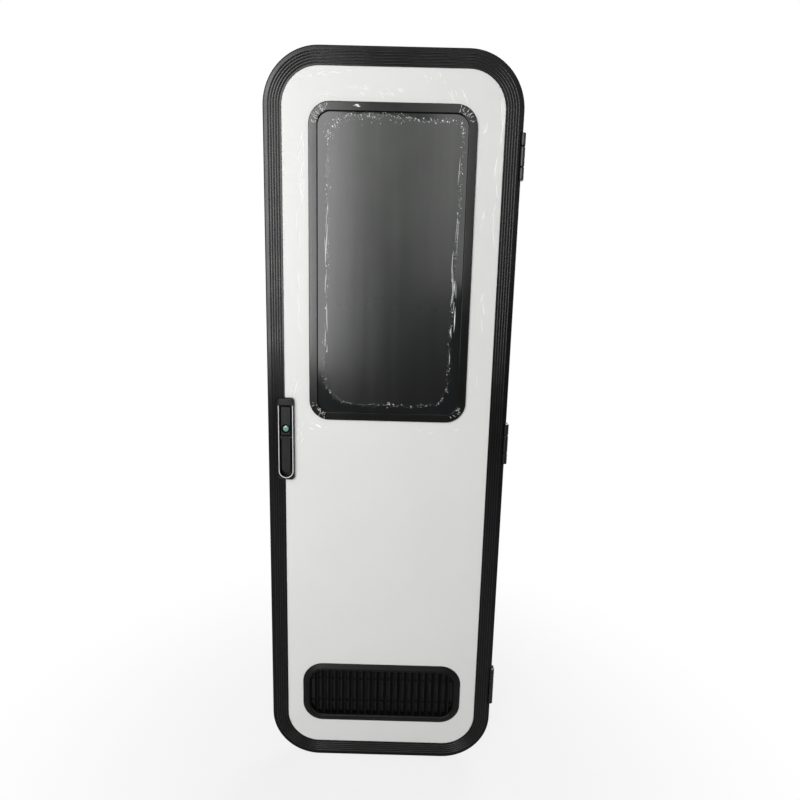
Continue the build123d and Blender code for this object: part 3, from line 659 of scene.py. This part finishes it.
class DOOR_OT_edge_band(bpy.types.Operator):
    """Sweeps the ribbed edge band round the leaf and notches it for hinges, latch and handle"""

    bl_idname = "door.edge_band"
    bl_label = "Ribbed edge band"

    def execute(self, context):
        sizes = context.scene.door_sizes
        back = BAND_FRONT - sizes.band_depth
        valley = BAND_FRONT - sizes.rib_height
        web_inner = sizes.web_outer + sizes.web_thickness
        lip_inner = sizes.web_outer + sizes.back_lip
        # A rib from foot to foot: share of its width from its middle, and height
        rib_shape = ((-0.5, valley), (-0.22, BAND_FRONT), (0.22, BAND_FRONT), (0.5, valley))
        section = [(0, back), (0, valley)]
        crests, feet = [], []
        for rib in range(sizes.rib_count):
            middle = sizes.rim_width + (rib + 0.5) * sizes.rib_pitch
            start = len(section)
            feet += [start, start + 3]
            crests += [start + 1, start + 2]
            section += [(middle + share * sizes.rib_width, out) for share, out in rib_shape]
        lip_edge = len(section)
        section += [(sizes.band_width, valley), (sizes.band_width, SKIN_FRONT),
                    (web_inner, SKIN_FRONT), (web_inner, PANEL_BACK), (lip_inner, PANEL_BACK),
                    (lip_inner, LEAF_BACK), (sizes.web_outer, LEAF_BACK), (sizes.web_outer, back)]
        easings = [(sizes.band_edge, [1]), (0.76 * MM, crests), (0.2 * MM, feet),
                   (0.5 * MM, [0, lip_edge, lip_edge + 5, lip_edge + 6])]
        bm = sweep_ring(section, easings, LEAF_WIDTH, LEAF_HEIGHT, sizes.leaf_radius, LEAF_LOW.z, 20)
        finish_piece(
            bm, "ribbed_edge_band", "coat", "leaf", ["leaf_edge_profile"],
            [("DIFFERENCE", cutter) for cutter in self.cutters(sizes)],
        )
        return {"FINISHED"}

    def cutters(self, sizes):
        """Hinge notches, the handle's pocket and the latch's slot."""
        gap = 1.5 * MM
        notch_depth = 7 * MM
        boxes = {}
        for place in HINGE_PLACES:
            low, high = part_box(f"hinge_{place}_frame_half")
            boxes[f"hinge_{place}_notch"] = (
                (LEAF_HIGH.x - notch_depth, -BAND_FRONT - gap, low.z - gap),
                (LEAF_HIGH.x + gap, -BAND_FRONT + sizes.band_depth + 0.2 * MM, high.z + gap),
            )
        half = sizes.recess_width / 2 + 3.4 * MM
        boxes["handle_pocket"] = (
            (HANDLE_X - half, -BAND_FRONT - gap, HOUSING_LOW.z + 4.5 * MM),
            (HANDLE_X + half, HOUSING_HIGH.y + 3 * MM, HOUSING_HIGH.z - 14 * MM),
        )
        low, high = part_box("latch_faceplate")
        fit = 0.4 * MM
        boxes["latch_slot"] = (
            (low.x - gap, low.y - fit, low.z - fit), (high.x + gap, high.y + fit, high.z + fit)
        )
        made = []
        for name, (low, high) in boxes.items():
            bm = bmesh.new()
            block(bm, low, high)
            made.append(cutter_of(bm, name))
        return made


class DOOR_OT_frame(bpy.types.Operator):
    """Finishes the wall frame and adds its bulb seal and screws"""

    bl_idname = "door.frame"
    bl_label = "Wall frame and seal"

    def execute(self, context):
        sizes = context.scene.door_sizes
        dress("coat", "door_frame")
        dress("steel", "strike_plate")
        front = out_of("frame_seal")
        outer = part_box("frame_seal")[0].z - LEAF_LOW.z
        inner = outer + 8 * MM
        section = [(outer, FLANGE_FRONT), (inner, FLANGE_FRONT), (inner, front), (outer, front)]
        bm = sweep_ring(
            section, [(3.9 * MM, [2, 3])], LEAF_WIDTH, LEAF_HEIGHT, sizes.leaf_radius, LEAF_LOW.z
        )
        finish_piece(bm, "frame_bulb_seal", "rubber", "frame", ["frame_seal"])
        # Flange screws: their inset, and half their spacing along a stile and along a rail
        inset, stile, rail = 8 * MM, 560 * MM, 110 * MM
        side, end = LEAF_WIDTH / 2 - inset, LEAF_HEIGHT / 2 - inset
        middle = LEAF_LOW.z + LEAF_HEIGHT / 2
        grids = [((-side, side), (middle - stile, middle + stile)), ((-rail, rail), (middle - end, middle + end))]
        screws("flange_screws", FLANGE_FRONT, grids, -1, 3.6 * MM, "frame")
        return {"FINISHED"}


class DOOR_OT_panel(bpy.types.Operator):
    """Finishes the sandwich panel and lays the folds of its protective film"""

    bl_idname = "door.panel"
    bl_label = "Panel and its film"

    # Clusters of folds: centre x and z, spread along x and z, folds, lean of the folds, longest fold
    clusters = (
        (-0.140, 1.772, 0.040, 0.006, 13, 8, 0.022), (-0.178, 1.768, 0.020, 0.008, 6, 40, 0.014),
        (-0.076, 1.735, 0.030, 0.009, 10, -28, 0.020), (-0.010, 1.733, 0.030, 0.009, 9, -32, 0.020),
        (-0.161, 1.727, 0.025, 0.008, 8, 18, 0.018), (0.132, 1.729, 0.010, 0.012, 4, -62, 0.022),
        (0.163, 1.726, 0.008, 0.010, 4, -76, 0.024), (0.070, 1.765, 0.050, 0.010, 5, -60, 0.012),
        (-0.212, 1.600, 0.006, 0.110, 12, 88, 0.060), (-0.218, 1.330, 0.005, 0.130, 9, 89, 0.070),
        (0.250, 1.640, 0.004, 0.070, 6, 88, 0.070), (0.243, 1.500, 0.004, 0.090, 6, 87, 0.080),
        (0.216, 1.560, 0.008, 0.120, 6, 80, 0.030), (-0.232, 1.080, 0.012, 0.050, 6, 84, 0.034),
        (-0.165, 0.950, 0.030, 0.010, 6, -22, 0.020), (-0.222, 0.925, 0.010, 0.030, 7, 72, 0.024),
        (0.226, 1.200, 0.006, 0.150, 6, 88, 0.040), (0.120, 0.945, 0.060, 0.008, 4, 12, 0.016),
    )

    def execute(self, context):
        sizes = context.scene.door_sizes
        dress("panel", "outer_skin", "inner_skin")
        dress("foam", "foam_core")
        draw = random.Random(11)
        bm = bmesh.new()
        for x, z, wide, tall, folds, lean, longest in self.clusters:
            for _ in range(folds):
                place = Vector((x + draw.uniform(-wide, wide), -SKIN_FRONT, z + draw.uniform(-tall, tall)))
                fold(bm, place, lean + draw.uniform(-14, 14), longest * draw.uniform(0.35, 1),
                     sizes.wrinkle_width * draw.uniform(0.45, 1), draw.uniform(-1, 1))
        finish_piece(bm, "panel_film_folds", "fold")
        return {"FINISHED"}


class DOOR_OT_window(bpy.types.Operator):
    """Builds the window bezel, its gasket and the films on the pane"""

    bl_idname = "door.window"
    bl_label = "Window"

    # Outline of the film on the pane (x, z), which is pulled back from the bezel and cut at its corners
    outline = (
        (-0.152, 1.640), (-0.135, 1.672), (-0.100, 1.688), (-0.030, 1.690), (0.030, 1.682), (0.070, 1.676),
        (0.160, 1.677), (0.166, 1.640), (0.160, 1.480), (0.155, 1.300), (0.151, 1.100), (0.149, 1.045),
        (0.128, 1.012), (0.070, 1.003), (0.000, 1.006), (-0.060, 1.004), (-0.115, 1.010), (-0.140, 1.030),
        (-0.160, 1.060), (-0.158, 1.150), (-0.153, 1.350),
    )

    def execute(self, context):
        sizes = context.scene.door_sizes
        dress("pane", "window_pane")
        dress("abs", "window_inner_ring")
        width, height, low = body_size("window_bezel")
        front = out_of("window_bezel")
        back = out_of("window_bezel", False)
        gasket_front = out_of("window_gasket")
        drop = 0.5 * MM
        sleeve = sizes.bezel_width - 6 * MM
        inner = sizes.bezel_width - 3 * MM
        section = [(0, SKIN_FRONT), (0, front), (sizes.bezel_width - drop, front), (sizes.bezel_width, front - drop),
                   (sizes.bezel_width, gasket_front), (inner, gasket_front), (inner, back), (sleeve, back),
                   (sleeve, SKIN_FRONT)]
        bm = sweep_ring(
            section, [(2.4 * MM, [1]), (0.3 * MM, [2, 3])], width, height, sizes.window_radius, low
        )
        finish_piece(bm, "window_bezel_ring", "bezel", "leaf", ["window_bezel"])
        seat = sizes.bezel_width - 2.5 * MM
        sight = sizes.bezel_width + sizes.gasket_sight
        section = [(seat, GLASS_FRONT), (sight, GLASS_FRONT), (sight - 0.6 * MM, gasket_front),
                   (seat, gasket_front)]
        bm = sweep_ring(section, [(0.5 * MM, [2])], width, height, sizes.window_radius, low)
        finish_piece(bm, "window_rubber_gasket", "rubber", "leaf", ["window_gasket"])
        self.film()
        self.bubbles(sizes)
        self.creases(sizes)
        ring_low, ring_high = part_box("window_inner_ring")
        inset = 9 * MM
        side = (ring_high.x - ring_low.x) / 2 - inset
        rows = [ring_low.z + height * share for share in (0.12, 0.37, 0.63, 0.88)]
        grids = [((-side, side), rows), ((-90 * MM, 90 * MM), (ring_low.z + inset, ring_high.z - inset))]
        screws("window_ring_screws", -ring_high.y, grids, 1, 3.2 * MM)
        return {"FINISHED"}

    def film(self):
        """The film on the pane: a thin sheet with a ragged edge."""
        noise.seed_set(5)  # Blender takes the clock where no seed is set
        bm = bmesh.new()
        bm.faces.new([bm.verts.new((x, -GLASS_FRONT - 0.05 * MM, z)) for x, z in self.outline])
        bmesh.ops.subdivide_edges(bm, edges=list(bm.edges), cuts=18)
        for vert in bm.verts:
            coarse = noise.noise_vector(vert.co * 30) * 4 * MM
            fine = noise.noise_vector(vert.co * 160) * 1.6 * MM
            vert.co += Vector((coarse.x + fine.x, 0, coarse.z + fine.z))
        raise_faces(bm, list(bm.faces), 0.2 * MM)
        finish_piece(bm, "window_film", "haze_and_painted_reflection")

    def bubbles(self, sizes):
        """Air bubbles and torn specks along the film's edge, thickest at the upper left corner."""
        draw = random.Random(5)
        bm = bmesh.new()
        points = [Vector((x, 0, z)) for x, z in self.outline]
        for here, there in zip(points, points[1:] + points[:1]):
            side = there - here
            inwards = Vector((side.z, 0, -side.x)).normalized()
            upper_left = here.x < 0 and here.z > 1.6
            per_metre = 1500 if upper_left else 1000 if here.z > 1.66 else 420
            spread = (11 if upper_left else 4) * MM
            for _ in range(int(side.length * per_metre)):
                place = here + side * draw.random() + inwards * draw.gauss(0.3, 0.7) * spread
                size = sizes.bubble_size * (0.25 + 0.75 * draw.random() ** 5)
                flat = Matrix.Diagonal((draw.uniform(0.6, 1.4), 0.3, draw.uniform(0.6, 1.6), 1))
                bmesh.ops.create_icosphere(
                    bm, subdivisions=1, radius=size / 2,
                    matrix=Matrix.Translation((place.x, -GLASS_FRONT - 0.3 * MM, place.z)) @ flat,
                )
        finish_piece(bm, "window_film_bubbles", "fold")

    def creases(self, sizes):
        """Creased film left at the bezel's corners and along the film's edges."""
        draw = random.Random(23)
        low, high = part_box("window_bezel")
        bm = bmesh.new()
        # Corners: centre of the corner's arc, first and last angle round it, folds
        arc = sizes.window_radius
        corners = [(low.x + arc, high.z - arc, 96, 176, 34), (high.x - arc, high.z - arc, 15, 80, 22),
                   (low.x + arc, low.z + arc, 190, 255, 20), (high.x - arc, low.z + arc, 285, 345, 10)]
        for x, z, first, last, folds in corners:
            for _ in range(folds):
                angle = draw.uniform(first, last)
                out = arc - draw.uniform(5, 17) * MM
                turn = math.radians(angle)
                place = Vector((x + out * math.cos(turn), low.y, z + out * math.sin(turn)))
                fold(bm, place, angle + draw.uniform(-35, 35), draw.uniform(4, 11) * MM,
                     sizes.wrinkle_width * draw.uniform(0.12, 0.32), draw.uniform(-1, 1))
        # A smear of film on the bezel's upper run
        for _ in range(5):
            place = Vector((-0.084 + draw.uniform(-5, 5) * MM, low.y, high.z - draw.uniform(8, 13) * MM))
            fold(bm, place, draw.uniform(-20, 10), draw.uniform(6, 12) * MM, sizes.wrinkle_width * 0.6,
                 draw.uniform(-1, 1))
        # Creases along the film's right and left edges: x, lowest and highest z, folds
        for x, low_z, high_z, folds in ((0.158, 1.22, 1.62, 9), (0.152, 1.10, 1.40, 7), (-0.154, 1.08, 1.50, 8)):
            for _ in range(folds):
                place = Vector((x + draw.uniform(-3, 3) * MM, -GLASS_FRONT - 0.2 * MM, draw.uniform(low_z, high_z)))
                fold(bm, place, 89 + draw.uniform(-4, 4), draw.uniform(20, 90) * MM,
                     sizes.wrinkle_width * draw.uniform(0.3, 0.6), draw.uniform(-1, 1))
        finish_piece(bm, "window_film_creases", "fold")


class DOOR_OT_vent(bpy.types.Operator):
    """Builds the vent's rounded rim with its slanting blades and tie bars"""

    bl_idname = "door.vent"
    bl_label = "Ventilation grille"

    def execute(self, context):
        sizes = context.scene.door_sizes
        dress("screen", "vent_insect_screen")
        dress("abs", "vent_inner_grille")
        width, height, low = body_size("vent_outer_grille")
        front = out_of("vent_outer_grille")
        back = out_of("vent_outer_grille", False)
        lip = front - 4 * MM
        sleeve = sizes.vent_rim - 4 * MM
        # The rim rises from its thin outer edge to a crest beside the opening
        section = [(0, SKIN_FRONT), (0, SKIN_FRONT + 2.4 * MM), (13 * MM, front), (16.5 * MM, front),
                   (sizes.vent_rim, lip), (sizes.vent_rim, back), (sleeve, back), (sleeve, SKIN_FRONT)]
        easings = [(1.8 * MM, [1]), (1.7 * MM, [2, 3]), (1.4 * MM, [4])]
        bm = sweep_ring(section, easings, width, height, sizes.vent_radius, low)
        thick, deep, lean = 2.2 * MM, 11.2 * MM, 9.6 * MM
        blade_front = lip - thick / 2
        middle = low + height / 2
        open_x = width / 2 - sizes.vent_rim
        open_z = height / 2 - sizes.vent_rim + 2 * MM
        corner = sizes.vent_radius - sizes.vent_rim
        shear = Matrix.Identity(4)
        shear[0][1] = -lean / deep
        for number in range(sizes.blade_count):
            x = (number - (sizes.blade_count - 1) / 2) * sizes.blade_pitch
            past = max(0.0, abs(x) + lean / 2 - (open_x - corner))
            reach = open_z - (corner - math.sqrt(max(0.0, corner ** 2 - past ** 2)))
            before = set(bm.verts)
            block(bm, (-thick / 2, -deep / 2, -reach), (thick / 2, deep / 2, reach), 0.8 * MM, 3)
            blade = [v for v in bm.verts if v not in before]
            bmesh.ops.transform(
                bm, matrix=Matrix.Translation((x, -blade_front + deep / 2, middle)) @ shear, verts=blade
            )
        bar, tie_reach = 1.25 * MM, open_x + 2 * MM
        tie_out = blade_front - deep
        for z in (middle - 33 * MM, middle + 33 * MM):
            block(bm, (-tie_reach, -tie_out - bar, z - bar), (tie_reach, -tie_out + bar, z + bar), 0.5 * MM)
        finish_piece(bm, "vent_grille", "abs", "leaf", ["vent_outer_grille"])
        inner_low, inner_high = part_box("vent_inner_grille")
        inset = 9 * MM
        grid = ((-150 * MM, 0, 150 * MM), (inner_low.z + inset, inner_high.z - inset))
        screws("vent_screws", out_of("window_inner_ring", False), [grid], 1, 3 * MM)
        return {"FINISHED"}


class DOOR_OT_handle(bpy.types.Operator):
    """Builds the recessed pull handle with its bright trim, lock and paddle"""

    bl_idname = "door.handle"
    bl_label = "Pull handle and lock"

    def execute(self, context):
        sizes = context.scene.door_sizes
        half = sizes.recess_width / 2
        recess_low = HOUSING_LOW.z + 8 * MM
        recess_high = HOUSING_HIGH.z - 18 * MM
        self.housing(sizes, half, recess_low, recess_high)
        self.trim(half, recess_low, recess_high)
        dress("nylon", "lock_head")
        dress("coat", "paddle_pin")
        self.paddle()
        self.lock()
        bm = bmesh.new()
        cap_half = 12.5 * MM
        slab(bm, (HANDLE_X - cap_half, recess_high + 1 * MM), (HANDLE_X + cap_half, recess_high + 14 * MM),
             (1.5 * MM, 1.5 * MM, 9 * MM, 9 * MM), HANDLE_FRONT - 0.5 * MM, HANDLE_FRONT + 1.1 * MM, 0.9 * MM)
        finish_piece(bm, "handle_end_cap", "nylon")
        return {"FINISHED"}

    def housing(self, sizes, half, recess_low, recess_high):
        """A rounded housing with a deep cup, stepped where it lies on the edge band."""
        wall = 2 * MM
        cup_back = -HOUSING_HIGH.y
        bm = bmesh.new()
        slab(bm, (HOUSING_LOW.x, HOUSING_LOW.z), (HOUSING_HIGH.x, HOUSING_HIGH.z), (8 * MM,) * 4, SKIN_FRONT,
             HANDLE_FRONT, 3 * MM)
        cup, recess, step = bmesh.new(), bmesh.new(), bmesh.new()
        for hollow, side, back, front in (
            (cup, wall, cup_back, HANDLE_FRONT - 4 * MM), (recess, 0, cup_back + wall, HANDLE_FRONT + 2 * MM)
        ):
            foot = (half + side) * ROUND
            slab(hollow, (HANDLE_X - half - side, recess_low - side), (HANDLE_X + half + side, recess_high + side),
                 (foot, foot, 0, 0), back, front)
        band_edge = LEAF_LOW.x + sizes.band_width + 0.5 * MM
        block(step, (LEAF_LOW.x - MM, -BAND_FRONT, HOUSING_LOW.z - MM),
              (band_edge, -SKIN_FRONT + MM, HOUSING_HIGH.z + MM))
        finish_piece(
            bm, "handle_housing_shell", "nylon", "leaf", ["handle_housing"],
            [("DIFFERENCE", cutter_of(step, "band_step")), ("UNION", cutter_of(cup, "cup")),
             ("DIFFERENCE", cutter_of(recess, "recess"))],
        )

    def trim(self, half, recess_low, recess_high):
        """A bright wire that runs down one side of the recess, round its foot and up the other."""
        reach = half + 2.1 * MM
        arc = recess_low + half
        top = recess_high - 1 * MM
        bm = bmesh.new()
        start = Matrix.Translation((HANDLE_X - reach, -HANDLE_FRONT, top))
        bmesh.ops.create_circle(bm, cap_ends=False, segments=14, radius=1.05 * MM, matrix=start)
        bmesh.ops.scale(bm, vec=(1, 1.5, 1), space=start.inverted(), verts=bm.verts)
        still = (0, 0, 0)
        draw_along(bm, [(still, (0, 0, arc - top), 0, 1), ((HANDLE_X, 0, arc), still, 2 * QUARTER, 28),
                        (still, (0, 0, top - arc), 0, 1)])
        bmesh.ops.holes_fill(bm, edges=bm.edges, sides=0)
        finish_piece(bm, "handle_bright_trim", "chrome", "leaf", ["handle_trim"])

    def paddle(self):
        """The pull paddle: a flat bar with a round foot and a barrel at its pivot."""
        low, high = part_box("pull_paddle")
        bm = bmesh.new()
        slim = 1.3 * MM
        wide = high.x - low.x - 2 * slim
        barrel = (high.y - low.y) * 0.499
        foot = wide / 2 * ROUND
        slab(bm, (low.x + slim, low.z), (high.x - slim, high.z), (foot, foot, 0, 0), -high.y, -low.y)
        top = [e for e in bm.edges if all(abs(v.co.z - high.z) < 0.01 * MM for v in e.verts)
               and abs(e.verts[0].co.x - e.verts[1].co.x) > wide / 2]
        ease(bm, top, barrel, 6)
        rim = [e for e in bm.edges if all(abs(v.co.y - low.y) < 0.001 * MM for v in e.verts)
               and not all(abs(v.co.z - (high.z - barrel)) < 0.01 * MM for v in e.verts)]
        ease(bm, rim, 1.4 * MM, 4)
        finish_piece(bm, "pull_paddle_bar", "paddle", "paddle", ["pull_paddle"])

    def lock(self):
        """The mint lock face with its keyway, and a black dust seal round it whose near-black, nearly glossless
        finish is painted shade for the head's recess.
        """
        low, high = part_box("lock_plug")
        centre_x = (low.x + high.x) / 2
        centre_z = (low.z + high.z) / 2
        radius = (high.x - low.x) / 2
        # Half of the plug's outline, from the middle of its slightly domed face to the middle of its back
        dome = 34 * MM
        outline = [(share * radius, low.y + (share * radius) ** 2 / (2 * dome)) for share in (0, 0.3, 0.6, 0.9)]
        outline += [(radius, low.y + 1.8 * MM), (radius, high.y), (0, high.y)]
        slot_half, slot_reach = 0.7 * MM, 4 * MM
        keyway = bmesh.new()
        block(keyway, (centre_x - slot_half, low.y - MM, centre_z - slot_reach),
              (centre_x + slot_half, low.y + 3 * MM, centre_z + slot_reach))
        finish_piece(turned(outline, centre_x, centre_z), "lock_face", "mint", "lock", ["lock_plug"],
                     [("DIFFERENCE", cutter_of(keyway, "keyway"))])
        # The seal lies in the head's ring, with its lip over the rim of the plug: radius and depth in mm
        section = [(8.6, 1.8), (8.6, 0.74), (7.0, 0.7), (7.1, 0.5), (10.9, 0.5), (11.2, 0.8), (11.2, 1.8),
                   (8.6, 1.8)]
        head_front = -out_of("lock_head")
        ring = [(out * MM, head_front + deep * MM) for out, deep in section]
        # The seal's near-black finish is painted shade for the recess round the plug
        finish_piece(turned(ring, centre_x, centre_z), "lock_dust_ring_and_shade", "dust_seal_and_shade")


class DOOR_OT_latch(bpy.types.Operator):
    """Finishes the latch and builds the inside handle"""

    bl_idname = "door.latch"
    bl_label = "Latch and inside handle"

    def execute(self, context):
        dress("steel", "latch_case", "latch_faceplate", "latch_bolt")
        low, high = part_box("inside_handle_plate")
        bm = bmesh.new()
        slab(bm, (low.x, low.z), (high.x, high.z), (10 * MM,) * 4, -high.y, -low.y, 0, 1.2 * MM)
        finish_piece(bm, "inside_plate", "abs", "leaf", ["inside_handle_plate"])
        middle = (low.x + high.x) / 2
        inset = 12 * MM
        screws("inside_plate_screws", -high.y, [((middle,), (low.z + inset, high.z - inset))], 1, 3 * MM)
        low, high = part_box("inside_handle_lever")
        half = (high.x - low.x) / 2
        thick = 8 * MM
        bm = bmesh.new()
        slab(bm, (low.x, low.z), (high.x, high.z), (half * ROUND,) * 4, -high.y, -high.y + thick, 0, 2 * MM)
        rod(bm, (middle, (low.y + high.y - thick) / 2, high.z - half), (0, 1, 0), half - 0.2 * MM,
            high.y - thick - low.y + 0.4 * MM)
        finish_piece(bm, "inside_lever", "abs", "leaf", ["inside_handle_lever"])
        return {"FINISHED"}


class DOOR_OT_hinges(bpy.types.Operator):
    """Builds the three hinges, each with two frame knuckles, a pin and a leaf knuckle"""

    bl_idname = "door.hinges"
    bl_label = "Hinges"

    def execute(self, context):
        plate, edge = 3 * MM, 0.5 * MM
        radius, pin, round_end = 6 * MM, 2.5 * MM, 2.4 * MM
        frame_span, leaf_span = 29 * MM, 45 * MM
        leaf_plate = 10.5 * MM
        back = context.scene.door_sizes.band_depth - BAND_FRONT
        upright = (0, 0, 1)
        joint = Vector(frame["joints"][0]["pos_m"])
        for place in HINGE_PLACES:
            node = f"hinge_{place}_frame_half"
            low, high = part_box(node)
            bm = bmesh.new()
            block(bm, (low.x, -FLANGE_FRONT - plate, low.z), (high.x, -FLANGE_FRONT, high.z), 0.6 * MM)
            for z in (low.z, high.z - frame_span):
                block(bm, (high.x - plate, joint.y, z), (high.x, -FLANGE_FRONT, z + frame_span), edge)
                rod(bm, (joint.x, joint.y, z + frame_span / 2), upright, radius, frame_span, round_end)
            rod(bm, (joint.x, joint.y, (low.z + high.z) / 2), upright, pin, high.z - low.z - 2 * MM)
            finish_piece(bm, f"hinge_{place}_frame_knuckles", "coat", "frame", [node])
            node = f"hinge_{place}_leaf_half"
            low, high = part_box(node)
            centre = (low.z + high.z) / 2
            bm = bmesh.new()
            block(bm, (low.x, back, low.z), (low.x + leaf_plate, back + plate, high.z), edge)
            block(bm, (joint.x - radius, joint.y, centre - leaf_span / 2),
                  (joint.x - radius + plate, back + plate, centre + leaf_span / 2), edge)
            rod(bm, (joint.x, joint.y, centre), upright, radius, leaf_span, round_end)
            finish_piece(bm, f"hinge_{place}_leaf_knuckle", "coat", "leaf", [node])
        return {"FINISHED"}


class DOOR_PT_panel(bpy.types.Panel):
    """Lists the steps that dress the door"""

    bl_label = "Caravan door"
    bl_idname = "DOOR_PT_panel"
    bl_space_type = "VIEW_3D"
    bl_region_type = "UI"
    bl_category = "Door"

    def draw(self, context):
        for step in STEPS:
            self.layout.operator(step.bl_idname)
        for group in (context.scene.door_sizes, context.scene.door_colours):
            for name in group.bl_rna.properties.keys():
                if name not in ("rna_type", "name"):
                    self.layout.prop(group, name)


STEPS = (
    DOOR_OT_stage, DOOR_OT_edge_band, DOOR_OT_frame, DOOR_OT_panel, DOOR_OT_window, DOOR_OT_vent,
    DOOR_OT_handle, DOOR_OT_latch, DOOR_OT_hinges,
)
CLASSES = (DoorSizes, DoorColours, *STEPS, DOOR_PT_panel)


def register():
    for kind in CLASSES:
        bpy.utils.register_class(kind)
    bpy.types.Scene.door_sizes = bpy.props.PointerProperty(type=DoorSizes)
    bpy.types.Scene.door_colours = bpy.props.PointerProperty(type=DoorColours)


def unregister():
    del bpy.types.Scene.door_colours
    del bpy.types.Scene.door_sizes
    for kind in reversed(CLASSES):
        bpy.utils.unregister_class(kind)


def main():
    """Dresses the door step by step."""
    register()
    bpy.ops.door.stage()
    bpy.ops.door.edge_band()
    bpy.ops.door.frame()
    bpy.ops.door.panel()
    bpy.ops.door.window()
    bpy.ops.door.vent()
    bpy.ops.door.handle()
    bpy.ops.door.latch()
    bpy.ops.door.hinges()


if __name__ == "__main__":
    main()
